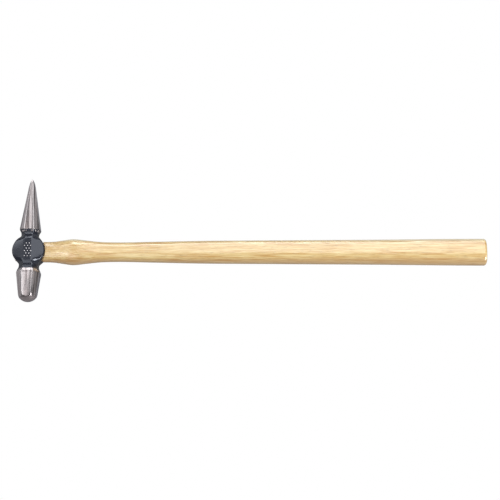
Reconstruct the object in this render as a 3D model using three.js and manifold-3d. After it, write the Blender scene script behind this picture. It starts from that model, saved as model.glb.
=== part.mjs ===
// A long-handled cross peen hammer of the kind used for sounding bolts, rivets and castings.
// The head is one forging with an octagonal peen and poll, hung on an oval wooden handle.
// The handle's tenon fills the head's eye and is spread in it by a wooden wedge and two steel wedges.
//
// Millimetres. +X runs along the handle from the eye to the butt, +Y from the eye to the peen, +Z up.
// The hammer lies on its side, and the origin is on the lower cheek, right under the centre of the eye.
import * as THREE from "three";
import { mergeVertices } from "three/addons/utils/BufferGeometryUtils.js";
import Module from "manifold-3d";

const wasm = await Module();
wasm.setup();

// ---- Driving dimensions ----

const PEEN_TIP = 75.2; // from the eye's centre to the peen's edge
const PEEN_BASE = 22.3; // where the peen is widest
const POLL_TOP = -21.4; // where the poll is widest
const FACE = -50.7; // the crown of the striking face
const FACE_CROWN_RADIUS = 10.6;
const FLAT_SHARE = 0.5; // an octagon's main flats, as a share of the width across them
const BOSS_RADIUS = 16.3; // the round boss around the eye, seen from the side
const BOSS_BELOW = 14.6; // the boss's reach towards the poll, which is a little less than round
const BOSS_END = 18; // the stretch along the head in which the boss runs out into the necks
const BOSS_FILLETS = { above: 6, below: 4 }; // where the boss meets the upper and the lower neck
const CHEEK = 11.8; // half the head's thickness over the cheeks
const CHEEK_FLAT = 10; // half the length of the cheek's flat, beyond which it falls to the necks
const CHEEK_FALL_RADIUS = 7;
const CHEEK_FILLET = 2;
const BOSS_BLEND = { from: -2, to: 5 }; // past the bar, where its section changes into the boss's
const BAR_ROUNDING = 0.12; // of the bar's edges, as a share of half its width
const BOSS_ROUNDING = 2.2; // of the boss's edges
const RIM = 8.3; // half the head's thickness at the eye's two mouths
const HANDLE_FULLNESS = 2.4; // of the handle's oval: 2 is an ellipse, and more is squarer
const BUTT = 456.0; // from the eye's centre to the end of the handle
const BUTT_ROUND = 2.5;
const SHOULDER_GAP = 0.45; // between the handle's shoulder and the boss
const FIT = 0.2; // gap between a piece and the one it is driven into

// ---- Solids and meshes ----

// A closed solid from a three.js geometry, for the cuts and joins.
function solid(geometry) {
  const bare = new THREE.BufferGeometry().setAttribute("position", geometry.getAttribute("position"));
  bare.setIndex(geometry.getIndex());
  const merged = mergeVertices(bare, 1e-4);
  return new wasm.Manifold(
    new wasm.Mesh({
      numProp: 3,
      vertProperties: merged.getAttribute("position").array,
      triVerts: new Uint32Array(merged.getIndex().array),
    }),
  );
}

function geometryOf(made) {
  const { vertProperties, triVerts } = made.getMesh();
  const geometry = new THREE.BufferGeometry();
  geometry.setAttribute("position", new THREE.BufferAttribute(vertProperties, 3));
  geometry.setIndex(new THREE.BufferAttribute(triVerts, 1));
  geometry.computeVertexNormals();
  return geometry;
}

// A closed skin over rings of points that have the same count, with a flat end on the first and last.
function loft(rings) {
  const count = rings[0].length;
  const points = rings.flat();
  const faces = [];
  for (let r = 0; r + 1 < rings.length; r++) {
    for (let k = 0; k < count; k++) {
      const a = r * count + k;
      const b = r * count + ((k + 1) % count);
      faces.push(a, b, b + count, a, b + count, a + count);
    }
  }
  const firstCentre = points.push(centreOf(rings[0])) - 1;
  const lastCentre = points.push(centreOf(rings[rings.length - 1])) - 1;
  const last = (rings.length - 1) * count;
  for (let k = 0; k < count; k++) {
    const next = (k + 1) % count;
    faces.push(firstCentre, next, k);
    faces.push(lastCentre, last + k, last + next);
  }
  return new THREE.BufferGeometry().setFromPoints(points).setIndex(faces);
}

function centreOf(ring) {
  const sum = new THREE.Vector3();
  ring.forEach((point) => sum.add(point));
  return sum.divideScalar(ring.length);
}

// The value at y on a line of [y, value] pairs that runs from high y to low y.
function valueAt(pairs, y) {
  const next = Math.max(1, pairs.findIndex(([end]) => end <= y));
  const [y0, v0] = pairs[next - 1];
  const [y1, v1] = pairs[next];
  return THREE.MathUtils.mapLinear(y, y0, y1, v0, v1);
}

// The larger of two values, with a fillet where they differ by less than the reach.
function softMax(a, b, reach) {
  return Math.max(a, b) + Math.max(0, reach - Math.abs(a - b)) ** 2 / (4 * reach);
}

// ---- The head ----

// Half the width across the flats of the octagonal bar that runs the whole length of the head.
const STEM = [
  [PEEN_TIP, 0.45],
  [PEEN_TIP - 0.7, 1.05],
  [PEEN_TIP - 2.6, 1.9],
  [PEEN_TIP - 6.8, 3.1],
  [PEEN_BASE, 10.05],
  [PEEN_BASE - 3.9, 8.2], // the upper neck, inside the boss from here on
  [13, 8.2],
  [-13.5, 9.4], // the lower neck
  [-16.2, 9.4],
  [POLL_TOP, 11.6],
  [FACE - 0.5, 8.05],
];

// Half the peen's thickness the other way, which leaves a short edge across the handle.
const PEEN_THICKNESS = [
  [PEEN_TIP, 2.4],
  [PEEN_TIP - 0.7, 3.0],
  [PEEN_TIP - 2.6, 3.4],
  [PEEN_BASE, 10.05],
];

// The head's outline at height y: an octagon with rounded corners, widened to the cheeks around the eye.
function headRing(y) {
  const stem = valueAt(STEM, y);
  const reach = y > 0 ? BOSS_RADIUS : BOSS_BELOW;
  const disc = BOSS_RADIUS * Math.sqrt(Math.max(0, 1 - (y / reach) ** 2));
  const arch = CHEEK - Math.max(0, Math.abs(y) - CHEEK_FLAT) ** 2 / (2 * CHEEK_FALL_RADIUS);
  const inBoss = Math.abs(y) < BOSS_END;
  const past = disc - stem;
  const share = inBoss ? THREE.MathUtils.smoothstep(past, BOSS_BLEND.from, BOSS_BLEND.to) : 0;
  const fillet = y > 0 ? BOSS_FILLETS.above : BOSS_FILLETS.below;
  const halfX = inBoss ? softMax(stem, disc, fillet) : stem;
  const barZ = y > PEEN_BASE ? valueAt(PEEN_THICKNESS, y) : stem;
  const halfZ = inBoss ? softMax(stem, arch, CHEEK_FILLET) : barZ;
  const flatX = FLAT_SHARE * (y > PEEN_BASE ? halfX : stem);
  const flatZ = THREE.MathUtils.lerp(FLAT_SHARE * (inBoss ? stem : halfZ), RIM, share);
  const corners = [
    [halfX, -flatZ],
    [halfX, flatZ],
    [flatX, halfZ],
    [-flatX, halfZ],
    [-halfX, flatZ],
    [-halfX, -flatZ],
    [-flatX, -halfZ],
    [flatX, -halfZ],
  ].map(([x, z]) => new THREE.Vector2(x, z));
  const round = THREE.MathUtils.lerp(BAR_ROUNDING * halfX, BOSS_ROUNDING, share);
  return roundedPolygon(corners, round).map((p) => new THREE.Vector3(p.x, y, p.y));
}

// A polygon whose corners are each replaced by a short curve.
function roundedPolygon(corners, round) {
  const nearlyHalf = 0.45;
  const steps = 3;
  return corners.flatMap((corner, k) => {
    const before = corners[(k + corners.length - 1) % corners.length];
    const after = corners[(k + 1) % corners.length];
    const start = corner.clone().lerp(before, Math.min(nearlyHalf, round / corner.distanceTo(before)));
    const end = corner.clone().lerp(after, Math.min(nearlyHalf, round / corner.distanceTo(after)));
    return new THREE.QuadraticBezierCurve(start, corner, end).getPoints(steps);
  });
}

function headHeights() {
  const steps = 30;
  const boss = Array.from({ length: steps + 1 }, (_, k) => BOSS_END - (2 * BOSS_END * k) / steps);
  const ends = STEM.map(([y]) => y).filter((y) => Math.abs(y) > BOSS_END);
  return [...ends, ...boss].sort((a, b) => b - a);
}

// A turned shape that is wider than the head and is closed by the crown of the striking face.
function faceCrown() {
  const centre = FACE + FACE_CROWN_RADIUS;
  const steps = 12;
  const arc = Array.from({ length: steps + 1 }, (_, k) => {
    const angle = (k / steps) * THREE.MathUtils.degToRad(80);
    const point = new THREE.Vector2(Math.sin(angle), -Math.cos(angle));
    return point.multiplyScalar(FACE_CROWN_RADIUS).add(new THREE.Vector2(0, centre));
  });
  const wide = 2 * BOSS_RADIUS;
  const top = PEEN_TIP + 5;
  const closing = [new THREE.Vector2(wide, centre), new THREE.Vector2(wide, top), new THREE.Vector2(0, top)];
  return new THREE.LatheGeometry([...arc, ...closing], 48);
}

// ---- The eye, and what is driven into it ----

// An oval across the handle at x, between an ellipse and a rounded rectangle.
function ovalRing(x, halfY, halfZ, fullness) {
  const count = 36;
  return Array.from({ length: count }, (_, k) => {
    const angle = (2 * Math.PI * k) / count;
    const bend = (value) => Math.sign(value) * Math.abs(value) ** (2 / fullness);
    return new THREE.Vector3(x, halfY * bend(Math.cos(angle)), halfZ * bend(Math.sin(angle)));
  });
}

// The eye narrows from both mouths to a waist, so that the spread tenon can't come out.
const EYE_WAIST = { halfY: 9.0, halfZ: 5.5 };
const EYE_FLARE = { halfY: 0.7, halfZ: 0.7 }; // more than the waist, at the ends of the eye
const EYE_FULLNESS = 2.6;

function eyeRing(x, gap) {
  const spread = (x / BOSS_RADIUS) ** 2;
  const halfY = EYE_WAIST.halfY + EYE_FLARE.halfY * spread - gap;
  const halfZ = EYE_WAIST.halfZ + EYE_FLARE.halfZ * spread - gap;
  return ovalRing(x, halfY, halfZ, EYE_FULLNESS);
}

function eyeLoft(from, to, gap) {
  const steps = 10;
  const xs = Array.from({ length: steps + 1 }, (_, k) => THREE.MathUtils.lerp(from, to, k / steps));
  return loft(xs.map((x) => eyeRing(x, gap)));
}

// A cylinder along Z, taller than the head is thick.
function standingCylinder(radius, centreX) {
  const cylinder = new THREE.CylinderGeometry(radius, radius, 5 * CHEEK, 96);
  return cylinder.rotateX(Math.PI / 2).translate(centreX, 0, 0);
}

// A rectangular bar along X through stations of [x, half its width, half its thickness].
function bar(stations) {
  return loft(
    stations.map(([x, y, z]) => [
      new THREE.Vector3(x, y, -z),
      new THREE.Vector3(x, y, z),
      new THREE.Vector3(x, -y, z),
      new THREE.Vector3(x, -y, -z),
    ]),
  );
}

const TENON_END = -15.4; // the tenon is cut nearly flush with the round boss
const END_CROWN_RADIUS = 22; // of the tenon's end, seen from the side
const UNCUT = -24; // how far the tenon and the wedges stand out before they are cut flush

// The kerf and its wedge narrow towards the butt. The wedge is as wide as the tenon.
const WOODEN_WEDGE = [
  [UNCUT, 9.35, 2.2],
  [6, 8.3, 0.4],
];

const STEEL_WEDGE_LENGTH = 15;
const STEEL_WEDGE_WIDTH = 8.6;
const STEEL_WEDGE_THICK = 2.4;
const STEEL_WEDGE_THIN = 0.5;
const STEEL_WEDGE_OFFSET = 4.8; // of each steel wedge from the centre of the eye
const BARBS = 5; // steps that stop a steel wedge from backing out
const BARB_DEPTH = 0.2;

function steelWedge(side) {
  const stations = [];
  for (let k = 0; k < BARBS; k++) {
    const step = k + 1 < BARBS ? BARB_DEPTH : 0;
    stations.push(steelStation(k / BARBS, 0), steelStation((k + 1) / BARBS, -step));
  }
  return solid(bar(stations).translate(0, side * STEEL_WEDGE_OFFSET, 0)).intersect(flushCut());
}

function steelWedgeSlot(side) {
  const start = steelStation(0, FIT);
  const end = steelStation(1, FIT);
  end[0] += FIT;
  return solid(bar([[UNCUT, ...start.slice(1)], start, end]).translate(0, side * STEEL_WEDGE_OFFSET, 0));
}

// One station of a steel wedge, a share of the way from its head to its thin end.
function steelStation(share, grow) {
  const half = THREE.MathUtils.lerp(STEEL_WEDGE_THICK, STEEL_WEDGE_THIN, share) / 2 + grow;
  return [TENON_END + STEEL_WEDGE_LENGTH * share, half, STEEL_WEDGE_WIDTH / 2 + Math.max(0, grow)];
}

function kerf() {
  const [[headX, , headHalf], [tipX, , tipHalf]] = WOODEN_WEDGE;
  const wide = 2 * BOSS_RADIUS;
  return solid(bar([[headX, wide, headHalf + FIT], [tipX + FIT, wide, tipHalf + FIT]]));
}

// What is left of the tenon and the wedges when they are cut flush with the boss.
function flushCut() {
  return solid(standingCylinder(END_CROWN_RADIUS, TENON_END + END_CROWN_RADIUS));
}

function withSteelWedgeSlots(body) {
  return body.subtract(steelWedgeSlot(1)).subtract(steelWedgeSlot(-1));
}

// ---- The handle ----

// x, half the width along the head, half the thickness.
const HANDLE_FORM = new THREE.CatmullRomCurve3(
  [
    [8, 10.2, 7.3],
    [22, 10.2, 7.3],
    [32, 11.5, 8.1],
    [43.5, 12.95, 9.2],
    [56, 11.7, 9.0],
    [70, 10.2, 8.3],
    [87, 9.7, 8.0],
    [120, 10.25, 8.2],
    [165, 11.2, 8.7],
    [250, 11.85, 9.2],
    [350, 12.5, 9.6],
    [420, 13.2, 9.9],
    [BUTT - BUTT_ROUND, 13.4, 10.0],
  ].map((station) => new THREE.Vector3(...station)),
  false,
  "centripetal",
);

function handleRings() {
  const lengthSteps = 54;
  const rings = HANDLE_FORM.getPoints(lengthSteps).map((p) => ovalRing(p.x, p.y, p.z, HANDLE_FULLNESS));
  const end = HANDLE_FORM.getPoint(1);
  const roundSteps = 4;
  for (let k = 1; k <= roundSteps; k++) {
    const angle = (k / roundSteps) * (Math.PI / 2);
    const inset = BUTT_ROUND * (1 - Math.cos(angle));
    const x = end.x + BUTT_ROUND * Math.sin(angle);
    rings.push(ovalRing(x, end.y - inset, end.z - inset, HANDLE_FULLNESS));
  }
  return rings;
}

// The shoulder is scooped to sit against the round boss, and the tenon runs on through the eye.
function handleSolid() {
  const grip = solid(loft(handleRings())).subtract(solid(standingCylinder(BOSS_RADIUS + SHOULDER_GAP, 0)));
  const tenon = solid(eyeLoft(UNCUT, BOSS_RADIUS + 2, FIT)).intersect(flushCut());
  return withSteelWedgeSlots(grip.add(tenon).subtract(kerf()));
}

function headSolid() {
  const forging = solid(loft(headHeights().map(headRing)));
  const eye = solid(eyeLoft(-BOSS_RADIUS - 4, BOSS_RADIUS + 4, 0));
  return forging.intersect(solid(faceCrown())).subtract(eye);
}

function woodenWedgeSolid() {
  return withSteelWedgeSlots(solid(bar(WOODEN_WEDGE)).intersect(flushCut()));
}

// ---- Materials and the assembly ----

const steel = new THREE.MeshStandardMaterial({ color: 0x9b9599, roughness: 0.35, metalness: 1 });
const ash = new THREE.MeshStandardMaterial({ color: 0xe0c48f, roughness: 0.45, metalness: 0 });
const hardwood = new THREE.MeshStandardMaterial({ color: 0xb88a55, roughness: 0.6, metalness: 0 });
const bareIron = new THREE.MeshStandardMaterial({ color: 0x77746f, roughness: 0.5, metalness: 1 });

const hammer = new THREE.Group();
hammer.position.z = CHEEK;

function addPart(name, made, material) {
  const mesh = new THREE.Mesh(geometryOf(made), material);
  mesh.name = name;
  hammer.add(mesh);
}

addPart("hammer_head", headSolid(), steel);
addPart("handle", handleSolid(), ash);
addPart("wooden_wedge", woodenWedgeSolid(), hardwood);
addPart("steel_wedge_peen_side", steelWedge(1), bareIron);
addPart("steel_wedge_poll_side", steelWedge(-1), bareIron);

export default hammer;
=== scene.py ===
"""The looks of a long-handled cross peen hammer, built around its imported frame.

The row frame has +X along the handle from the eye to the butt, +Y from the eye to the peen and +Z up.
Shapes are worked out in millimetres from the centre of the eye, and placed in the frame in metres.
"""

import math

import bmesh
import bpy
import numpy as np
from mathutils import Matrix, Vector


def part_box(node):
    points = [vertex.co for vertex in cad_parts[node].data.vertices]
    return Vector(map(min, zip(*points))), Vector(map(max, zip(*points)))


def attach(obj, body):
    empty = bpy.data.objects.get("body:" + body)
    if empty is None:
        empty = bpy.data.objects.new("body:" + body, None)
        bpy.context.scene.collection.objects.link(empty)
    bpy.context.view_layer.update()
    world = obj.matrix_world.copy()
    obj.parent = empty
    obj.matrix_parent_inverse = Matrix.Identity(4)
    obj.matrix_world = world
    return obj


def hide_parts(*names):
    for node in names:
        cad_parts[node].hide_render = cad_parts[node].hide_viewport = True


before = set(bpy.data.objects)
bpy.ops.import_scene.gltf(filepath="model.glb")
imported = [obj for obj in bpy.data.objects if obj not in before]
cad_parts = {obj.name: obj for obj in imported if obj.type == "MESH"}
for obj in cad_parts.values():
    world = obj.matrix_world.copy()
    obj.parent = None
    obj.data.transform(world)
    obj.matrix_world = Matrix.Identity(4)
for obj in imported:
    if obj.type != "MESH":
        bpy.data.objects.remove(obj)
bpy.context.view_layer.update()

MM = 0.001
HEAD_LOW, HEAD_HIGH = (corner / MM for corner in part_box("hammer_head"))
CHEEK = HEAD_HIGH.z / 2  # half the head's thickness over the cheeks
EYE_CENTRE = Vector((0, 0, CHEEK)) * MM

# ---- The head's dimensions ----

PEEN_TIP = HEAD_HIGH.y
PEEN_BASE = 22.3
POLL_TOP = -21.4
FACE = HEAD_LOW.y
FACE_CROWN_RADIUS = 10.6
BOSS_RADIUS = 16.3
BOSS_BELOW = 14.6  # the boss's reach towards the poll, which is a little less than round
BOSS_END = 18.0  # the stretch along the head in which the boss runs out into the necks
BOSS_BLEND = (-2, 5)  # how far the boss is wider than the bar where its section starts and is reached
BOSS_FILLET_ABOVE = 6.0
BOSS_FILLET_BELOW = 4.0
BOSS_EDGE = 1.5  # how far the boss's long edges are rounded
CHEEK_FLAT = 10.0  # the cheek is flat this far along the head, and then falls to the neck
CHEEK_FALL_RADIUS = 7.0
CHEEK_FILLET = 2.0
CHEEK_BAND = 3.9  # half the width of the band along the middle of the cheek
RIM = 8.3  # half the thickness of the boss at its round rim
FLAT_SHARE = 0.5  # a flat's width over the octagonal bar's width
BAR_EDGE_SHARE = 0.16  # rounding of the bar's edges over half its width
BAR_EDGE_LIMIT = 0.5
FACE_FILLET = 0.25
FIT = 0.2  # the gap around the tenon and the wedges

# Half the width of the octagonal bar at heights along the head, and how far each corner is rounded.
STEM = [
    (PEEN_TIP, 0.2, 0),
    (PEEN_TIP - 0.25, 0.8, 0.3),
    (PEEN_TIP - 2.6, 1.9, 1.0),
    (PEEN_TIP - 6.8, 3.1, 2.5),
    (PEEN_BASE, 10.07, 0.8),
    (PEEN_BASE - 3.9, 8.2, 1.4),
    (13, 8.2, 1.5),
    (-13.5, 9.4, 1.5),
    (-16.2, 9.4, 1.2),
    (POLL_TOP, 11.65, 1.5),
    (FACE - 0.5, 8.05, 0),
]
PEEN_THICKNESS_START = PEEN_BASE - 3.8  # above this the peen's thickness has its own line
PEEN_THICKNESS = [
    (PEEN_TIP, 1.9, 0),
    (PEEN_TIP - 0.25, 2.6, 0.3),
    (PEEN_TIP - 2.6, 3.4, 1.5),
    (PEEN_BASE, 10.07, 0.8),
    (PEEN_BASE - 3.9, 8.2, 0),
]

# The raised pips on the upper cheek.
PIP_PITCH = 3.0
PIP_ROWS = 6
PIP_ROW_SPACING = 0.87 * PIP_PITCH
PIP_RADIUS = 0.8
PIP_HEIGHT = 0.45
PIP_POINTS = 14
# Shares of the radius and the height, from inside the cheek to the top.
PIP_PROFILE = [(1.1, -1.4), (1.0, 0.02), (0.82, 0.55), (0.5, 0.88), (0.18, 1.0)]

# ---- The eye's and the handle's dimensions ----

EYE_WAIST = (9.0, 5.5)  # half the oval eye along the head and through it, at its narrowest
EYE_FLARE = (0.7, 0.7)  # how much wider it is at the boss's rim
EYE_FULLNESS = 2.6
EYE_LIP = 0.8  # radius of the rounded edge of the eye's mouths
TENON_END = -15.4
TENON_EDGE = 0.3  # the rounded edge of the tenon's end
END_CROWN_RADIUS = 22.0
SHOULDER_RADIUS = BOSS_RADIUS + 0.45
SHOULDER = 20.0  # the handle's first section behind the head
GRIP_START = 27.0  # from here on the handle's sections are flat
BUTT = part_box("handle")[1].x / MM
BUTT_ROUND = 2.5
HANDLE_FULLNESS = 2.4
# Half the handle's width and thickness at distances along it.
HANDLE_FORM = [
    (8, 10.2, 7.3),
    (22, 10.2, 7.3),
    (32, 11.5, 8.1),
    (43.5, 12.95, 9.2),
    (56, 11.7, 9.0),
    (70, 10.2, 8.3),
    (87, 9.7, 8.0),
    (120, 10.25, 8.2),
    (165, 11.2, 8.7),
    (250, 11.85, 9.2),
    (350, 12.5, 9.6),
    (420, 13.2, 9.9),
    (BUTT - BUTT_ROUND, 13.4, 10.0),
]
# The wooden wedge's ends: the distance along the handle, half the width and half the thickness.
WOODEN_WEDGE = [(TENON_END, 9.05, 1.68), (6, 8.3, 0.4)]
WOODEN_WEDGE_SUNK = 0.05
STEEL_WEDGE_LENGTH = 15.0
STEEL_WEDGE_WIDTH = 8.6
STEEL_WEDGE_THICK = 2.4
STEEL_WEDGE_THIN = 0.5
STEEL_WEDGE_OFFSET = 4.8
STEEL_WEDGE_PROUD = 0.25
STEEL_WEDGE_BURR = 0.18  # how far the struck head spreads past the wedge
BARBS = 5
BARB_DEPTH = 0.2


# ---- Mesh helpers ----

LINE_STEPS = 8
OVAL_POINTS = 96
SHARP_ANGLE = 38
BEVEL_ANGLE = 40


def lerp(a, b, t):
    return a + (b - a) * t


def smoothstep(value, low, high):
    t = min(1, max(0, (value - low) / (high - low)))
    return t * t * (3 - 2 * t)


def soft_max(a, b, reach):
    """The larger of two values, with a fillet where they differ by less than the reach."""
    return max(a, b) + max(0, reach - abs(a - b)) ** 2 / (4 * reach)


def bezier(start, corner, end, steps):
    shares = np.linspace(0, 1, steps + 1)
    return [(1 - t) ** 2 * start + 2 * t * (1 - t) * corner + t * t * end for t in shares]


def towards(corner, other, reach):
    """The point a reach away from the corner on the way to the other point, or halfway at most."""
    way = other - corner
    return corner + way * min(0.48, reach / max(1e-6, np.linalg.norm(way)))


def rounded_line(stations):
    """Points (y, value), y rising, of a line through (y, value, reach) stations with rounded corners."""
    at = [np.array(s[:2], float) for s in stations]
    points = [at[0]]
    for k in range(1, len(at) - 1):
        reach = stations[k][2]
        start, end = towards(at[k], at[k - 1], reach), towards(at[k], at[k + 1], reach)
        points += bezier(start, at[k], end, LINE_STEPS)
    points.append(at[-1])
    return np.array(points)[::-1]


def skin(rings):
    """Vertices and faces of a closed skin over rings, an array of (ring, point, xyz)."""
    rings = np.asarray(rings, float)
    count = rings.shape[1]
    faces = []
    for r in range(len(rings) - 1):
        for k in range(count):
            a, b = r * count + k, r * count + (k + 1) % count
            faces.append((a, b, b + count, a + count))
    faces.append(tuple(range(count))[::-1])
    faces.append(tuple(range((len(rings) - 1) * count, len(rings) * count)))
    return rings.reshape(-1, 3), faces


def new_object(name, points, faces):
    """A mesh object in the row frame, from points in millimetres from the eye's centre."""
    mesh = bpy.data.meshes.new(name)
    placed = np.asarray(points, float) * MM + np.array(EYE_CENTRE)
    mesh.from_pydata(placed.tolist(), [], faces)
    shape = bmesh.new()
    shape.from_mesh(mesh)
    bmesh.ops.recalc_face_normals(shape, faces=shape.faces)
    if shape.calc_volume(signed=True) < 0:
        bmesh.ops.reverse_faces(shape, faces=shape.faces)
    shape.to_mesh(mesh)
    shape.free()
    made = bpy.data.objects.new(name, mesh)
    bpy.context.scene.collection.objects.link(made)
    return made


def apply_modifiers(piece):
    """Keeps the result of the piece's modifiers as its mesh."""
    graph = bpy.context.evaluated_depsgraph_get()
    mesh = bpy.data.meshes.new_from_object(piece.evaluated_get(graph))
    piece.modifiers.clear()
    piece.data = mesh


def cut(piece, *cutters):
    """Takes the cutters away from the piece, and deletes them."""
    for cutter in cutters:
        modifier = piece.modifiers.new("cut", "BOOLEAN")
        modifier.operation = "DIFFERENCE"
        modifier.solver = "EXACT"
        modifier.use_self = True
        modifier.object = cutter
    apply_modifiers(piece)
    for cutter in cutters:
        bpy.data.objects.remove(cutter)


def bevel_edges(piece, width, segments):
    """Rounds the piece's sharp edges, and keeps the result as its mesh."""
    modifier = piece.modifiers.new("round", "BEVEL")
    modifier.width = width * MM
    modifier.segments = segments
    modifier.limit_method = "ANGLE"
    modifier.angle_limit = math.radians(BEVEL_ANGLE)
    apply_modifiers(piece)


def finish_mesh(piece):
    """Smooth shading between sharp edges, with large flat faces kept flat."""
    mesh = piece.data
    mesh.shade_smooth()
    mesh.set_sharp_from_angle(angle=math.radians(SHARP_ANGLE))
    weighted = piece.modifiers.new("weighted", "WEIGHTED_NORMAL")
    weighted.keep_sharp = True


def place(piece, node, material):
    """The piece stands for one CAD node and moves with the hammer's one body."""
    piece.data.materials.clear()
    piece.data.materials.append(material)
    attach(piece, "root")
    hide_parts(node)


# ---- The head's mesh ----

CORNER_STEPS = 6
FLAT_STEPS = 7
# An edge's value sets both its wear and the painted highlight on the steel's rounded edges.
EDGE_FADE = 0.6  # how much less an edge is worn where its rounding ends than in its middle
RING_GAP = 0.04  # rings that are nearer to each other than this are left out, except on the face
FACE_DEPTH = 0.6
PULLED = 0.12  # a point that is pulled in by more than this is on the face
DOME_EDGE = FACE + 4.45  # where the ground sides meet the dull striking face

stem_line = rounded_line(STEM)
thickness_line = rounded_line(PEEN_THICKNESS)


def value_at(line, y):
    return float(np.interp(y, line[:, 0], line[:, 1]))


def boss_half_width(y):
    return BOSS_RADIUS * math.sqrt(max(0, 1 - (y / (BOSS_RADIUS if y > 0 else BOSS_BELOW)) ** 2))


def head_corners(y):
    """The section's eight corners at height y, and how far each is rounded."""
    stem = value_at(stem_line, y)
    half_x, half_z, share = stem, stem, 0.0
    flat_x, flat_z = FLAT_SHARE * stem, FLAT_SHARE * stem
    if abs(y) < BOSS_END:
        disc = boss_half_width(y)
        arch = CHEEK - max(0, abs(y) - CHEEK_FLAT) ** 2 / (2 * CHEEK_FALL_RADIUS)
        share = smoothstep(disc, stem + BOSS_BLEND[0], stem + BOSS_BLEND[1])
        fillet = BOSS_FILLET_ABOVE if y > 0 else BOSS_FILLET_BELOW
        half_x, half_z = soft_max(stem, disc, fillet), soft_max(stem, arch, CHEEK_FILLET)
        flat_z = lerp(flat_z, RIM, share)
        flat_x = lerp(flat_x, CHEEK_BAND, share)
    elif y > PEEN_THICKNESS_START:
        half_z = value_at(thickness_line, y)
        flat_z = FLAT_SHARE * half_z
    reach = lerp(min(BAR_EDGE_LIMIT, BAR_EDGE_SHARE * half_x), BOSS_EDGE, share)
    corners = [
        (half_x, -flat_z),
        (half_x, flat_z),
        (flat_x, half_z),
        (-flat_x, half_z),
        (-half_x, flat_z),
        (-half_x, -flat_z),
        (-flat_x, -half_z),
        (flat_x, -half_z),
    ]
    return [np.array(c, float) for c in corners], reach


def head_ring(y):
    """The section's points at height y as (x, z), and 1 at each corner falling to 0 on the flats."""
    corners, reach = head_corners(y)
    points, edge = [], []
    for k, corner in enumerate(corners):
        before, after = corners[k - 1], corners[(k + 1) % 8]
        end = towards(corner, after, reach)
        points += bezier(towards(corner, before, reach), corner, end, CORNER_STEPS)
        edge += [1.0 - abs(2 * t / CORNER_STEPS - 1) * EDGE_FADE for t in range(CORNER_STEPS + 1)]
        next_start = towards(after, corner, reach)
        points += [lerp(end, next_start, j / (FLAT_STEPS + 1)) for j in range(1, FLAT_STEPS + 1)]
        edge += [0.0] * FLAT_STEPS
    return np.array(points), edge


def head_heights():
    """Heights of the rings from the tip to the face: close together where the head curves."""
    from_middle = np.radians(np.linspace(1.2, 62, 90))
    dome = FACE + FACE_CROWN_RADIUS * (1 - np.cos(from_middle))
    heights = np.concatenate(
        [
            stem_line[:, 0],
            np.arange(PEEN_BASE + 2, PEEN_TIP, 2.0),
            np.linspace(-BOSS_END, BOSS_END, 97),
            np.arange(dome.max(), -BOSS_END, 1.5),
            dome,
        ]
    )
    heights = np.unique(np.round(heights[heights > FACE + 0.002], 3))[::-1]
    keep = [heights[0]]
    for y in heights[1:]:
        if keep[-1] - y > RING_GAP or y < FACE + FACE_DEPTH:
            keep.append(y)
    return keep


def crowned(points, y):
    """Pulls a section's points in to the striking face's sphere, and gives 1 for each that it moves."""
    centre = FACE + FACE_CROWN_RADIUS
    if y >= centre:
        return points, np.zeros(len(points))
    sphere = math.sqrt(max(0, FACE_CROWN_RADIUS**2 - (y - centre) ** 2))
    lengths = np.linalg.norm(points, axis=1)
    kept = np.array([-soft_max(-length, -sphere, FACE_FILLET) for length in lengths])
    return points * (kept / lengths)[:, None], (lengths - kept > PULLED).astype(float)


def eye_sizes(x):
    """Half the eye's oval at x."""
    spread = (x / BOSS_RADIUS) ** 2
    return EYE_WAIST[0] + EYE_FLARE[0] * spread, EYE_WAIST[1] + EYE_FLARE[1] * spread


def oval(half_y, half_z, fullness):
    """Points (y, z) of an oval between an ellipse and a rounded rectangle."""
    angles = 2 * np.pi * np.arange(OVAL_POINTS) / OVAL_POINTS
    c, s = np.cos(angles), np.sin(angles)
    return np.stack(
        [
            half_y * np.sign(c) * np.abs(c) ** (2 / fullness),
            half_z * np.sign(s) * np.abs(s) ** (2 / fullness),
        ],
        axis=1,
    )


def on_cylinder(radius, y):
    return np.sqrt(np.maximum(0, radius**2 - y**2))


def eye_cutter():
    """The eye as a solid, with a rounded lip at each mouth that follows the round boss."""
    depths = [share * EYE_LIP for share in (0.06, 0.2, 0.4, 0.65, 1.0)]
    mouth = [(d, EYE_LIP - math.sqrt(EYE_LIP**2 - (EYE_LIP - d) ** 2)) for d in depths]
    outside, past_boss = 0.5, 3
    slope = (mouth[0][1] - mouth[1][1]) / (mouth[1][0] - mouth[0][0])
    mouth.insert(0, (-outside, mouth[0][1] + slope * (mouth[0][0] + outside)))
    rings = []
    half_y, half_z = eye_sizes(BOSS_RADIUS - EYE_LIP)
    for depth, grow in mouth:
        flat = oval(half_y + grow, half_z + grow, EYE_FULLNESS)
        rings.append(np.column_stack([depth - on_cylinder(BOSS_RADIUS, flat[:, 0]), flat]))
    flat_end = rings[0].copy()
    flat_end[:, 0] = -BOSS_RADIUS - past_boss
    rings.insert(0, flat_end)
    middle = []
    for x in np.linspace(-9, 9, 13):
        flat = oval(*eye_sizes(x), EYE_FULLNESS)
        middle.append(np.column_stack([np.full(OVAL_POINTS, x), flat]))
    mirrored = [ring * np.array([-1, 1, 1]) for ring in rings[::-1]]
    return new_object("eye_cutter", *skin(rings + middle + mirrored))


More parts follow.
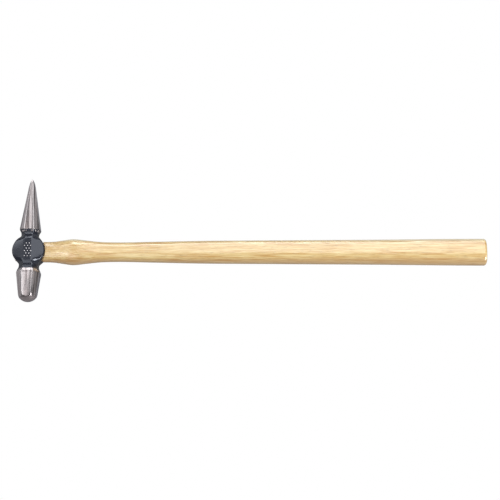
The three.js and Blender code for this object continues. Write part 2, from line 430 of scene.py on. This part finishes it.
def stamp_pips():
    """A plain lattice of raised pips in the middle of the upper cheek, as points and faces."""
    points, faces, worn = [], [], []
    for row in range(PIP_ROWS):
        for column in (-1, 1) if row % 2 else (-2, 0, 2):
            centre = (column * PIP_PITCH / 2, (row - (PIP_ROWS - 1) / 2) * PIP_ROW_SPACING, CHEEK)
            base = len(points)
            for wide, high in PIP_PROFILE:
                for k in range(PIP_POINTS):
                    angle = 2 * math.pi * k / PIP_POINTS
                    around = (math.cos(angle) * wide * PIP_RADIUS, math.sin(angle) * wide * PIP_RADIUS)
                    points.append(np.array(centre) + (*around, high * PIP_HEIGHT))
                    worn.append(max(0.0, high))
            _, pip_faces = skin(np.array(points[base:]).reshape(len(PIP_PROFILE), PIP_POINTS, 3))
            faces += [tuple(base + corner for corner in face) for face in pip_faces]
    return points, faces, worn


def build_head(material):
    rings, edge = [], []
    for y in head_heights():
        flat, corner_edge = head_ring(y)
        flat, on_face = crowned(flat, y)
        rings.append(np.column_stack([flat[:, 0], np.full(len(flat), y), flat[:, 1]]))
        edge.append(np.array(corner_edge) * (1 - on_face))
    piece = new_object("hammer_head_visual", *skin(rings))
    attribute = piece.data.attributes.new("edge", "FLOAT", "POINT")
    attribute.data.foreach_set("value", np.concatenate(edge).astype(np.float32))
    cut(piece, eye_cutter())
    points, faces, worn = stamp_pips()
    stamp = new_object("stamp", points, faces)
    stamp.data.attributes.new("worn", "FLOAT", "POINT").data.foreach_set("value", worn)
    with bpy.context.temp_override(active_object=piece, selected_editable_objects=[piece, stamp]):
        bpy.ops.object.join()
    finish_mesh(piece)
    place(piece, "hammer_head", material)


# ---- The handle's mesh ----

CAP_STEPS = 7
TENON_EDGE_SHARE = 0.975


def smooth_form(x):
    """Half the handle's width and thickness at x, on a smooth line through its stations."""
    form = np.array(HANDLE_FORM)
    xs = form[:, 0]
    k = int(np.clip(np.searchsorted(xs, x) - 1, 0, len(xs) - 2))
    slopes = np.gradient(form[:, 1:], xs, axis=0)
    slopes[0] = slopes[1] = 0
    span = xs[k + 1] - xs[k]
    t = (x - xs[k]) / span
    basis = (2 * t**3 - 3 * t**2 + 1, t**3 - 2 * t**2 + t, -2 * t**3 + 3 * t**2, t**3 - t**2)
    sizes = basis[0] * form[k, 1:] + basis[1] * span * slopes[k]
    return sizes + basis[2] * form[k + 1, 1:] + basis[3] * span * slopes[k + 1]


def end_crown(y):
    """Where the tenon's dressed end is at y."""
    return TENON_END + END_CROWN_RADIUS - on_cylinder(END_CROWN_RADIUS, y)


def tenon_ring(x_of):
    """A ring of the tenon whose distance along the handle is given by a function of y."""
    flat = oval(1, 1, EYE_FULLNESS)
    xs = np.array([x_of(y * EYE_WAIST[0]) for y in flat[:, 0]], float)
    spread = (xs / BOSS_RADIUS) ** 2
    half_y = EYE_WAIST[0] + EYE_FLARE[0] * spread - FIT
    half_z = EYE_WAIST[1] + EYE_FLARE[1] * spread - FIT
    return np.column_stack([xs, flat[:, 0] * half_y, flat[:, 1] * half_z])


def cap_rings(ring, depth_of):
    """Rings that close an end, from its middle out to the given ring."""
    middle = ring.mean(axis=0)
    rings = []
    for k in range(CAP_STEPS):
        share = lerp(0.02, 1, k / CAP_STEPS)
        inner = middle + (ring - middle) * share
        inner[:, 0] = depth_of(inner[:, 1])
        rings.append(inner)
    return rings


def scooped_shoulder(y):
    """Where the shoulder, which follows the boss, is at y."""
    return on_cylinder(SHOULDER_RADIUS, y)


def tenon_rings():
    """Rings from the middle of the tenon's end to the shoulder."""
    front = tenon_ring(lambda y: end_crown(y) + TENON_EDGE)
    edge = front.copy()
    edge[:, 1:] *= TENON_EDGE_SHARE
    edge[:, 0] = end_crown(edge[:, 1])
    middle = [tenon_ring(lambda y, x=x: x) for x in np.linspace(-11, 11, 12)]
    return cap_rings(edge, end_crown) + [edge, front] + middle + [tenon_ring(scooped_shoulder)]


def shoulder_rings():
    """Rings over the shoulder's rounded edge, and on to where the sections are flat."""
    rings = []
    half_y, half_z = smooth_form(SHOULDER)
    for inset, back in ((0.55, 0.0), (0.2, 0.08), (0.05, 0.3), (0.0, 0.6)):
        flat = oval(half_y - inset, half_z - inset, HANDLE_FULLNESS)
        rings.append(np.column_stack([scooped_shoulder(flat[:, 0]) + back, flat]))
    last = rings[-1]
    for share in (0.25, 0.5, 0.75):
        flat = oval(*smooth_form(lerp(SHOULDER, GRIP_START, share)), HANDLE_FULLNESS)
        rings.append(np.column_stack([lerp(last[:, 0], GRIP_START, share), flat]))
    return rings


def grip_rings():
    """Rings along the grip and over the butt's rounded edge."""
    rings = []
    end = BUTT - BUTT_ROUND
    for x in np.concatenate([np.arange(GRIP_START, 100, 1.5), np.arange(101, end, 4.0), [end]]):
        flat = oval(*smooth_form(x), HANDLE_FULLNESS)
        rings.append(np.column_stack([np.full(OVAL_POINTS, x), flat]))
    half_y, half_z = smooth_form(end)
    for angle in np.radians([15, 30, 45, 60, 75, 90]):
        inset = BUTT_ROUND * (1 - math.cos(angle))
        flat = oval(half_y - inset, half_z - inset, HANDLE_FULLNESS)
        rings.append(np.column_stack([np.full(OVAL_POINTS, end + BUTT_ROUND * math.sin(angle)), flat]))
    return rings


def handle_rings():
    rings = tenon_rings() + shoulder_rings() + grip_rings()
    return rings + cap_rings(rings[-1], lambda y: np.full(len(y), BUTT))[::-1]


def bar(name, stations, centre_y=0.0):
    """A rectangular bar along X through stations of (x, half its width, half its thickness)."""
    rings = []
    for x, half_y, z in stations:
        high, low = centre_y + half_y, centre_y - half_y
        rings.append([(x, high, -z), (x, high, z), (x, low, z), (x, low, -z)])
    return new_object(name, *skin(rings))


def steel_station(share, grow):
    """A station of a steel wedge at a share of its length, grown all round."""
    half = lerp(STEEL_WEDGE_THICK, STEEL_WEDGE_THIN, share) / 2 + grow
    return TENON_END + STEEL_WEDGE_LENGTH * share, half, STEEL_WEDGE_WIDTH / 2 + max(0, grow)


def slot_cutter(side):
    """A steel wedge's slot, open past the tenon's end."""
    start, end = steel_station(0, FIT), steel_station(1, FIT)
    outside = (TENON_END - 8, start[1] + 0.3, start[2])
    stations = [outside, (end[0] + FIT, end[1], end[2])]
    return bar("slot_cutter", stations, side * STEEL_WEDGE_OFFSET)


def kerf_cutter():
    """The wooden wedge's kerf, open past the tenon's end."""
    (head_x, _, head_half), (tip_x, _, tip_half) = WOODEN_WEDGE
    slope = (head_half - tip_half) / (tip_x - head_x)
    outside = 8
    wide = 2 * BOSS_RADIUS
    stations = [
        (head_x - outside, wide, head_half + FIT + slope * outside),
        (tip_x + FIT, wide, tip_half + FIT),
    ]
    return bar("kerf_cutter", stations)


def build_handle(material):
    piece = new_object("handle_visual", *skin(handle_rings()))
    cut(piece, kerf_cutter(), slot_cutter(1), slot_cutter(-1))
    finish_mesh(piece)
    place(piece, "handle", material)


# ---- The wedges' meshes ----


def build_wooden_wedge(material):
    """The wedge's end is dressed with the tenon's, so it follows the same crown."""
    (head_x, head_y, head_z), (tip_x, tip_y, tip_z) = WOODEN_WEDGE
    rings = []
    across = np.linspace(1, -1, 25)
    for share in np.linspace(0, 1, 14):
        half_y, half_z = lerp(head_y, tip_y, share), lerp(head_z, tip_z, share)
        top = [(y * half_y, half_z) for y in across]
        bottom = [(y * half_y, -half_z) for y in across[::-1]]
        flat = np.array(top + bottom)
        xs = lerp(end_crown(flat[:, 0]) + WOODEN_WEDGE_SUNK, tip_x, share)
        rings.append(np.column_stack([xs, flat]))
    piece = new_object("wooden_wedge_visual", *skin(rings))
    cut(piece, slot_cutter(1), slot_cutter(-1))
    bevel_edges(piece, 0.12, segments=2)
    finish_mesh(piece)
    place(piece, "wooden_wedge", material)


def build_steel_wedge(side, name, material):
    """A barbed wedge whose head stands a little proud of the wood and is burred over by the blows."""
    stations = []
    for k in range(BARBS):
        step = BARB_DEPTH if k + 1 < BARBS else 0
        stations += [steel_station(k / BARBS, 0), steel_station((k + 1) / BARBS, -step)]
    crown = float(end_crown(np.array(STEEL_WEDGE_OFFSET)))
    _, half_y, half_z = stations[0]
    burr = STEEL_WEDGE_BURR
    head = [
        (crown - STEEL_WEDGE_PROUD, half_y + burr, half_z + burr),
        (crown - STEEL_WEDGE_PROUD + 0.35, half_y + 0.8 * burr, half_z + 0.8 * burr),
        (crown + 0.3, half_y - 0.05, half_z),
    ]
    stations = head + stations[1:]
    piece = bar(f"{name}_visual", stations, side * STEEL_WEDGE_OFFSET)
    bevel_edges(piece, 0.14, segments=3)
    finish_mesh(piece)
    place(piece, name, material)


# ---- Materials ----


class Shader:
    """One Principled material and short ways to add the nodes that feed it."""

    def __init__(self, name, **settings):
        self.material = bpy.data.materials.new(name)
        self.material.use_nodes = True
        self.tree = self.material.node_tree
        self.principled = self.tree.nodes["Principled BSDF"]
        for setting, value in settings.items():
            socket = setting.replace("_", " ").title().replace("Ior", "IOR")
            self.principled.inputs[socket].default_value = value
        coordinates = self.tree.nodes.new("ShaderNodeTexCoord")
        self.point = self.vector("SCALE", coordinates.outputs["Object"], scale=1 / MM)
        self.x, self.y, self.z = self.split(self.point)

    def feed(self, socket, value):
        if isinstance(value, bpy.types.NodeSocket):
            self.tree.links.new(value, socket)
        elif value is not None:
            socket.default_value = value

    def math(self, operation, *values, clamp=False):
        node = self.tree.nodes.new("ShaderNodeMath")
        node.operation, node.use_clamp = operation, clamp
        for socket, value in zip(node.inputs, values):
            self.feed(socket, value)
        return node.outputs[0]

    def vector(self, operation, *values, scale=None):
        node = self.tree.nodes.new("ShaderNodeVectorMath")
        node.operation = operation
        for socket, value in zip(node.inputs, values):
            self.feed(socket, value)
        if scale is not None:
            self.feed(node.inputs["Scale"], scale)
        return node.outputs["Value" if operation == "LENGTH" else "Vector"]

    def times(self, first, second):
        return self.math("MULTIPLY", first, second)

    def plus(self, first, second):
        return self.math("ADD", first, second)

    def minus(self, first, second):
        return self.math("SUBTRACT", first, second)

    def size(self, value):
        return self.math("ABSOLUTE", value)

    def split(self, vector):
        node = self.tree.nodes.new("ShaderNodeSeparateXYZ")
        self.feed(node.inputs[0], vector)
        return node.outputs[0], node.outputs[1], node.outputs[2]

    def join(self, x, y, z):
        node = self.tree.nodes.new("ShaderNodeCombineXYZ")
        for socket, value in zip(node.inputs, (x, y, z)):
            self.feed(socket, value)
        return node.outputs[0]

    def stretched(self, x, y, z):
        """The point in millimetres, times one number along each axis."""
        return self.vector("MULTIPLY", self.point, (x, y, z))

    def lengthwise(self, around, along):
        """A point that changes around the head's axis and slowly along it, so lines run to the tip."""
        flat = self.vector("MULTIPLY", self.point, (1, 0, 1))
        outward = self.vector("SCALE", self.vector("NORMALIZE", flat), scale=10 * around)
        return self.vector("ADD", outward, self.vector("MULTIPLY", self.point, (0, along, 0)))

    def noise(self, vector, detail=3.0, roughness=0.55):
        """A smooth noise with one feature per unit of the vector."""
        node = self.tree.nodes.new("ShaderNodeTexNoise")
        node.inputs["Scale"].default_value = 1.0
        for name, value in (("Vector", vector), ("Detail", detail), ("Roughness", roughness)):
            self.feed(node.inputs[name], value)
        return node.outputs["Fac"]

    def spread(self, value, low, high, to_low=0.0, to_high=1.0, smooth=True):
        """Maps low..high to to_low..to_high, and holds the ends."""
        node = self.tree.nodes.new("ShaderNodeMapRange")
        node.interpolation_type = "SMOOTHSTEP" if smooth else "LINEAR"
        for socket, given in zip(node.inputs, (value, low, high, to_low, to_high)):
            self.feed(socket, given)
        return node.outputs[0]

    def within(self, value, rise, fall):
        """1 between two soft steps, each given by its two ends, and 0 outside them."""
        return self.times(self.spread(value, *rise), self.spread(value, *fall, 1, 0))

    def mix(self, share, first, second):
        node = self.tree.nodes.new("ShaderNodeMix")
        node.data_type = "RGBA"
        colours = [s for s in node.inputs if s.type == "RGBA"]
        self.feed(node.inputs[0], share)
        for socket, colour in zip(colours, (first, second)):
            self.feed(socket, (*colour, 1) if isinstance(colour, tuple) else colour)
        return next(s for s in node.outputs if s.type == "RGBA")

    def attribute(self, name):
        node = self.tree.nodes.new("ShaderNodeAttribute")
        node.attribute_name = name
        return node.outputs["Fac"]

    def surface_normal(self):
        return self.tree.nodes.new("ShaderNodeNewGeometry").outputs["Normal"]

    def bump(self, height, distance, under=None):
        """A normal for a height of 0 to 1 times a distance in millimetres, over another bump's normal."""
        node = self.tree.nodes.new("ShaderNodeBump")
        node.inputs["Strength"].default_value = 1.0
        self.feed(node.inputs["Distance"], distance * MM)
        self.feed(node.inputs["Height"], height)
        self.feed(node.inputs["Normal"], under)
        return node.outputs[0]

    def drive(self, socket, value):
        self.feed(self.principled.inputs[socket], value)


STEEL_DARK, STEEL_PALE = (0.26, 0.235, 0.24), (0.76, 0.70, 0.71)
STEEL_BROWNED = (0.52, 0.43, 0.42)
STEEL_SCRATCH = (0.80, 0.76, 0.77)
# Painted highlight: the colour that the rounded steel edges are paled towards.
STEEL_EDGE_HIGHLIGHT = (0.80, 0.77, 0.79)
STEEL_RUBBED = (0.88, 0.87, 0.90)
FACE_DARK, FACE_PALE = (0.40, 0.355, 0.36), (0.50, 0.445, 0.45)
# Painted shade: the colour of the dark line where the ground sides meet the striking face.
FACE_SHADE_LINE = (0.10, 0.075, 0.085)
ENAMEL_DARK, ENAMEL_PALE = (0.005, 0.006, 0.013), (0.008, 0.0095, 0.021)
ENAMEL_TOP = PEEN_BASE - 0.2
ENAMEL_LOW = -18.2


def enamel_cover(s, edge, worn):
    """Where the enamel was laid on, and where it has come off: 1 or 0 with soft ends. On the lower left rim
    and the lower ridges more chips bare the steel, as wear and as a painted highlight.
    """
    wobble = s.noise(s.stretched(0.35, 0.35, 0.35), detail=2)
    height = s.plus(s.y, s.times(s.minus(wobble, 0.5), 0.9))
    below_peen = s.spread(height, ENAMEL_TOP - 0.15, ENAMEL_TOP, 1, 0)
    lower_at_sides = s.spread(s.size(s.x), 8.0, 10.5, 0.0, 2.0)
    above_poll = s.spread(s.plus(height, lower_at_sides), ENAMEL_LOW - 0.1, ENAMEL_LOW + 0.1)
    coated = s.times(below_peen, above_poll)

    at_base = s.times(s.spread(height, PEEN_BASE - 2.0, PEEN_BASE - 1.6), below_peen)
    # Painted highlight: extra chips bare the steel only on the lower left rim and the lower ridges, where
    # bright lines fall.
    left_rim_highlight = s.times(s.spread(s.y, -6.0, 0.0, 1, 0), s.spread(s.x, -8.0, -5.0, 1, 0))
    ridge_highlights = s.times(s.spread(s.y, -13.0, -11.0, 1, 0), s.spread(s.x, 0.0, 3.0, 1, 0))
    low_wear_and_highlight = s.math("MAXIMUM", left_rim_highlight, ridge_highlights)
    threshold = s.minus(0.80, s.times(edge, 0.08))
    threshold = s.minus(threshold, s.times(s.times(edge, low_wear_and_highlight), 0.26))
    threshold = s.minus(threshold, s.times(at_base, 0.18))
    fleck = s.noise(s.stretched(1.1, 1.1, 1.1), detail=5, roughness=0.7)
    chipped = s.spread(s.minus(fleck, threshold), 0.0, 0.02)

    under_peen = s.within(height, (PEEN_BASE - 2.9, PEEN_BASE - 2.5), (PEEN_BASE - 1.6, PEEN_BASE - 1.2))
    dashes = s.times(under_peen, s.spread(s.noise(s.lengthwise(1.0, 0.2), detail=1), 0.50, 0.56))
    bared = s.math("MAXIMUM", s.math("MAXIMUM", chipped, dashes), s.spread(worn, 0.45, 0.85))
    return coated, bared


def steel_colour(s, edge, worn, on_face, streaks, fine, grain):
    """Ground steel with lines to the tip, a painted highlight on the rounded edges, a dull striking face and
    a painted shade line around it.
    """
    cloud = s.noise(s.stretched(0.16, 0.05, 0.16), detail=3)
    steel = s.mix(s.spread(streaks, 0.40, 0.60), STEEL_DARK, STEEL_PALE)
    steel = s.mix(s.spread(cloud, 0.45, 0.7, 0.0, 0.5), steel, STEEL_BROWNED)
    steel = s.mix(s.spread(fine, 0.45, 0.8, 0.0, 0.35), steel, STEEL_SCRATCH)
    # Painted highlight along the rounded edges, fading out near the face.
    painted_edge_highlight = s.times(edge, s.spread(s.y, DOME_EDGE + 0.5, DOME_EDGE + 4.0, 0.0, 0.6))
    steel = s.mix(painted_edge_highlight, steel, STEEL_EDGE_HIGHLIGHT)
    steel = s.mix(on_face, steel, s.mix(grain, FACE_DARK, FACE_PALE))
    # Painted shade: a dark line at the face's edge, darkest under the middle facets.
    line = s.within(s.y, (DOME_EDGE - 0.7, DOME_EDGE - 0.1), (DOME_EDGE, DOME_EDGE + 0.1))
    line = s.times(line, s.spread(s.size(s.x), 3.5, 6.0, 0.9, 0.2))
    steel = s.mix(line, steel, FACE_SHADE_LINE)
    return s.mix(worn, steel, STEEL_RUBBED)


def head_normal(s, paint, bare, on_face, streaks, fine, grain):
    """Grinding lines on the sides, turned rings on the face, and a little orange peel in the enamel."""
    bands = s.noise(s.lengthwise(0.36, 0.006), detail=2, roughness=0.5)
    sides = s.times(bare, s.minus(1.0, on_face))
    normal = s.bump(s.times(bands, sides), 0.45)
    normal = s.bump(s.times(streaks, sides), 0.07, under=normal)
    normal = s.bump(s.times(fine, sides), 0.006, under=normal)
    turned = s.noise(s.join(s.vector("LENGTH", s.stretched(3.0, 0.0, 3.0)), 0.0, 0.0), detail=2)
    normal = s.bump(s.times(s.plus(turned, grain), on_face), 0.02, under=normal)
    peel = s.noise(s.stretched(0.42, 0.42, 0.42), detail=2, roughness=0.4)
    normal = s.bump(s.times(peel, paint), 0.07, under=normal)
    return s.bump(paint, 0.06, under=normal)


def head_material():
    """Ground steel at both ends and black enamel between them, worn off the stamp and chipped at edges, with
    a painted highlight on the steel's edges, chips placed as a painted highlight on the lower rim and ridges,
    and a painted shade line around the face.
    """
    s = Shader("ground_steel_and_enamel", ior=1.8, specular_tint=(0.85, 0.9, 1.0, 1))
    edge, worn = s.attribute("edge"), s.attribute("worn")
    on_face = s.spread(s.y, DOME_EDGE, DOME_EDGE + 0.1, 1, 0)
    streaks = s.noise(s.lengthwise(0.9, 0.014), detail=2, roughness=0.5)
    fine = s.noise(s.lengthwise(5.0, 0.05), detail=2, roughness=0.6)
    grain = s.noise(s.stretched(2.2, 2.2, 2.2), detail=4, roughness=0.65)

    coated, bared = enamel_cover(s, edge, worn)
    paint = s.times(coated, s.minus(1.0, bared))
    bare = s.minus(1.0, paint)
    steel = steel_colour(s, edge, worn, on_face, streaks, fine, grain)
    s.drive("Base Color", s.mix(paint, steel, s.mix(grain, ENAMEL_DARK, ENAMEL_PALE)))
    s.drive("Metallic", bare)

    steel_rough = s.plus(s.spread(streaks, 0.3, 0.7, 0.2, 0.32), s.times(on_face, 0.2))
    steel_rough = s.plus(steel_rough, s.times(s.times(coated, bared), 0.22))
    enamel_rough = s.spread(grain, 0.3, 0.7, 0.14, 0.22)
    s.drive("Roughness", s.plus(s.times(steel_rough, bare), s.times(enamel_rough, paint)))
    s.drive("Normal", head_normal(s, paint, bare, on_face, streaks, fine, grain))
    return s.material


def wood_colour(s, pale, dark, pith, spacing, warp):
    """Faint growth rings around a pith line along X, long fibres and short pores.

    Gives the colour, and the fibres and pores as heights.
    """
    slow = s.noise(s.stretched(0.006, 0.03, 0.03), detail=2, roughness=0.45)
    wander = s.noise(s.stretched(0.022, 0.09, 0.09), detail=3, roughness=0.5)
    across = s.plus(s.times(s.minus(slow, 0.5), warp * 3.0), s.y)
    up = s.plus(s.times(s.minus(wander, 0.5), warp), s.z)
    from_pith = s.join(0.0, s.minus(across, pith[0]), s.minus(up, pith[1]))
    rings = s.math("DIVIDE", s.vector("LENGTH", from_pith), spacing)
    rings = s.plus(rings, s.times(s.x, 0.0035))
    phase = s.math("FRACT", rings)
    early = s.within(phase, (0.0, 0.12), (0.18, 0.85))
    streak = s.noise(s.stretched(0.045, 0.75, 0.75), detail=3, roughness=0.6)
    fibre = s.noise(s.stretched(0.06, 3.2, 3.2), detail=3, roughness=0.6)
    pore = s.noise(s.stretched(0.13, 1.7, 1.7), detail=2, roughness=0.5)
    pores = s.spread(s.plus(pore, s.times(early, 0.06)), 0.64, 0.74)
    cloud = s.noise(s.stretched(0.025, 0.12, 0.12), detail=3)
    lines = s.spread(s.noise(s.stretched(0.028, 1.0, 1.0), detail=2, roughness=0.5), 0.54, 0.64)
    share = s.plus(s.times(early, 0.2), s.spread(streak, 0.36, 0.66, 0.0, 0.75, smooth=False))
    share = s.plus(share, s.times(s.minus(fibre, 0.4), 0.5))
    share = s.math("ADD", share, s.times(s.minus(cloud, 0.5), 0.9), clamp=True)
    share = s.math("ADD", s.times(share, 0.85), s.times(lines, 0.75), clamp=True)
    return s.mix(share, pale, dark), fibre, pores


HANDLE_PALE, HANDLE_DARK = (0.97, 0.765, 0.36), (0.66, 0.365, 0.09)
HANDLE_PORE = (0.36, 0.21, 0.08)
HANDLE_END = (0.50, 0.31, 0.14)
HANDLE_GRIME = (0.38, 0.22, 0.11)
# Painted shade: brown along the lower edge, strongest near the head.
HANDLE_LOW_SHADE = (0.46, 0.23, 0.085)
# Painted highlight: pale along the upper edge.
HANDLE_HIGH_HIGHLIGHT = (1.0, 0.92, 0.66)


def handle_material():
    """Pale ring-porous wood under a clear varnish, dirtier near the head, with a painted shade browning the
    lower edge and a painted highlight paling the upper edge.
    """
    s = Shader("varnished_ash", coat_weight=1.0, coat_roughness=0.14, coat_ior=2.2, ior=1.6)
    colour, fibre, pores = wood_colour(s, HANDLE_PALE, HANDLE_DARK, pith=(16.0, -26.0), spacing=1.7, warp=2.2)
    colour = s.mix(s.times(pores, 0.55), colour, HANDLE_PORE)
    end_grain = s.spread(s.size(s.split(s.surface_normal())[0]), 0.75, 0.97)
    colour = s.mix(s.times(end_grain, 0.45), colour, HANDLE_END)
    grime = s.spread(s.noise(s.stretched(0.08, 0.35, 0.35), detail=4), 0.45, 0.75)
    near_head = s.spread(s.x, 15, 34, 1, 0)
    colour = s.mix(s.times(s.times(grime, near_head), 0.5), colour, HANDLE_GRIME)
    # Painted shade along the lower edge, strongest near the head.
    low_edge_shade = s.times(s.spread(s.y, -10.5, -6.5, 1, 0), s.spread(s.x, 25, 90, 1.0, 0.75))
    colour = s.mix(s.times(low_edge_shade, 0.6), colour, HANDLE_LOW_SHADE)
    # Painted highlight along the upper edge.
    colour = s.mix(s.spread(s.y, 8.5, 12.0, 0.0, 0.7), colour, HANDLE_HIGH_HIGHLIGHT)
    s.drive("Base Color", colour)
    s.drive("Roughness", s.spread(fibre, 0.3, 0.7, 0.36, 0.5))
    ripple = s.noise(s.stretched(0.045, 0.3, 0.3), detail=3)
    swell = s.noise(s.stretched(0.03, 0.8, 0.8), detail=3)
    fibres = s.minus(s.times(fibre, 0.4), pores)
    s.drive("Normal", s.bump(fibres, 0.05, under=s.bump(ripple, 0.3)))
    s.drive("Coat Normal", s.bump(s.plus(swell, s.times(ripple, 1.2)), 0.16))
    return s.material


WEDGE_PALE, WEDGE_DARK = (0.42, 0.24, 0.11), (0.22, 0.11, 0.045)
WEDGE_PORE = (0.08, 0.04, 0.02)


def wedge_wood_material():
    """Darker hardwood with open pores."""
    s = Shader("wedge_hardwood")
    colour, fibre, pores = wood_colour(s, WEDGE_PALE, WEDGE_DARK, pith=(4.0, -14.0), spacing=1.3, warp=1.5)
    s.drive("Base Color", s.mix(s.times(pores, 0.7), colour, WEDGE_PORE))
    s.drive("Roughness", s.spread(fibre, 0.3, 0.7, 0.5, 0.7))
    s.drive("Normal", s.bump(s.minus(fibre, pores), 0.06))
    return s.material


FILED_DARK, FILED_PALE = (0.30, 0.29, 0.28), (0.58, 0.57, 0.55)
RUST = (0.16, 0.08, 0.045)


def wedge_steel_material():
    """Filed steel with rust spots."""
    s = Shader("bare_wedge_steel", metallic=1.0)
    filed = s.noise(s.stretched(6.0, 0.5, 7.0), detail=4, roughness=0.65)
    spots = s.noise(s.stretched(0.9, 0.9, 0.9), detail=5, roughness=0.7)
    rust = s.spread(spots, 0.56, 0.7, 0.0, 0.8)
    s.drive("Base Color", s.mix(rust, s.mix(filed, FILED_DARK, FILED_PALE), RUST))
    s.drive("Roughness", s.plus(s.spread(filed, 0.3, 0.7, 0.3, 0.5), s.times(rust, 0.3)))
    s.drive("Normal", s.bump(s.plus(filed, spots), 0.05))
    return s.material


# ---- The pieces ----

build_head(head_material())
build_handle(handle_material())
build_wooden_wedge(wedge_wood_material())
wedge_steel = wedge_steel_material()
build_steel_wedge(1, "steel_wedge_peen_side", wedge_steel)
build_steel_wedge(-1, "steel_wedge_poll_side", wedge_steel)

# ---- The studio ----

FLOOR_HALF = 6.0
FLOOR_DROP = 0.0002
FLOOR_GREY = (0.4, 0.4, 0.4, 1)
WORLD_STRENGTH = 0.2
PANEL_HEIGHT = 1.5
# Each soft panel's spans along X and Y, and its radiance. The gaps between them are dark in the steel.
PANELS = {
    "key": ((-0.07, 1.3), (0.05, 1.4), 1.45),
    "back": ((-0.16, 1.6), (1.4, 3.2), 1.6),
    "far_back": ((-0.16, 1.6), (3.2, 9.0), 3.0),
    "shoulder": ((-0.6, -0.18), (1.7, 4.5), 3.6),
    "fill": ((-3.2, -1.9), (0.14, 1.8), 2.4),
    "near_fill": ((-1.9, -0.42), (0.14, 0.6), 0.4),
    "peen_fill": ((-1.9, -0.42), (0.6, 1.8), 1.1),
    "strip": ((-0.36, -0.14), (-0.3, 0.12), 1.1),
    "far_strip": ((-0.36, -0.14), (0.12, 0.75), 0.3),
    "poll_fill": ((-1.1, -0.42), (-0.15, 0.14), 3.0),
    "low_left": ((-1.1, -0.42), (-0.7, -0.15), 1.0),
    "front": ((-0.6, -0.05), (-1.0, -0.35), 1.3),
    "side": ((1.4, 3.0), (-2.6, -0.6), 10.0),
}
CAMERA_TILT = math.radians(14.2)
CAMERA_DISTANCE = 1.233
CAMERA_AIM = Vector((0.2203, 0.0023, EYE_CENTRE.z))
LENS, SENSOR = 88.78, 36


def build_floor():
    """White paper as it is seen, which lights the hammer only as much as grey paper does."""
    side = FLOOR_HALF
    corners = [(-side, -side, 0), (side, -side, 0), (side, side, 0), (-side, side, 0)]
    floor = bpy.data.meshes.new("floor")
    floor.from_pydata(corners, [], [(0, 1, 2, 3)])
    plane = bpy.data.objects.new("floor", floor)
    plane.location.z = -FLOOR_DROP
    bpy.context.scene.collection.objects.link(plane)
    material = bpy.data.materials.new("floor_paper")
    material.use_nodes = True
    tree = material.node_tree
    grey = tree.nodes["Principled BSDF"]
    grey.inputs["Base Color"].default_value = FLOOR_GREY
    grey.inputs["Roughness"].default_value = 0.9
    grey.inputs["Specular IOR Level"].default_value = 0.0
    white = tree.nodes.new("ShaderNodeEmission")
    seen = tree.nodes.new("ShaderNodeMixShader")
    path = tree.nodes.new("ShaderNodeLightPath")
    tree.links.new(path.outputs["Is Camera Ray"], seen.inputs[0])
    tree.links.new(grey.outputs[0], seen.inputs[1])
    tree.links.new(white.outputs[0], seen.inputs[2])
    tree.links.new(seen.outputs[0], tree.nodes["Material Output"].inputs["Surface"])
    floor.materials.append(material)


def build_panel(name, x_span, y_span, radiance):
    """A soft light that faces down from the panels' height, between the given x and y."""
    wide, deep = x_span[1] - x_span[0], y_span[1] - y_span[0]
    light = bpy.data.lights.new(name, "AREA")
    light.shape = "RECTANGLE"
    light.size, light.size_y = wide, deep
    light.energy = radiance * math.pi * wide * deep
    lamp = bpy.data.objects.new(name, light)
    lamp.location = (sum(x_span) / 2, sum(y_span) / 2, PANEL_HEIGHT)
    bpy.context.scene.collection.objects.link(lamp)


def build_world():
    """A weak, even white from all round."""
    world = bpy.data.worlds.new("studio")
    world.use_nodes = True
    background = world.node_tree.nodes["Background"]
    background.inputs["Color"].default_value = (1, 1, 1, 1)
    background.inputs["Strength"].default_value = WORLD_STRENGTH
    bpy.context.scene.world = world


def build_camera():
    """Looks down on the hammer as it lies, from a little to the poll's side."""
    data = bpy.data.cameras.new("camera")
    data.lens = LENS
    data.sensor_width = SENSOR
    camera = bpy.data.objects.new("camera", data)
    back = Vector((0, -math.sin(CAMERA_TILT), math.cos(CAMERA_TILT)))
    camera.location = CAMERA_AIM + back * CAMERA_DISTANCE
    camera.rotation_euler = (CAMERA_TILT, 0, 0)
    bpy.context.scene.collection.objects.link(camera)
    bpy.context.scene.camera = camera


build_floor()
for panel_name, panel in PANELS.items():
    build_panel(panel_name, *panel)
build_world()
build_camera()
bpy.context.scene.view_settings.view_transform = "Standard"
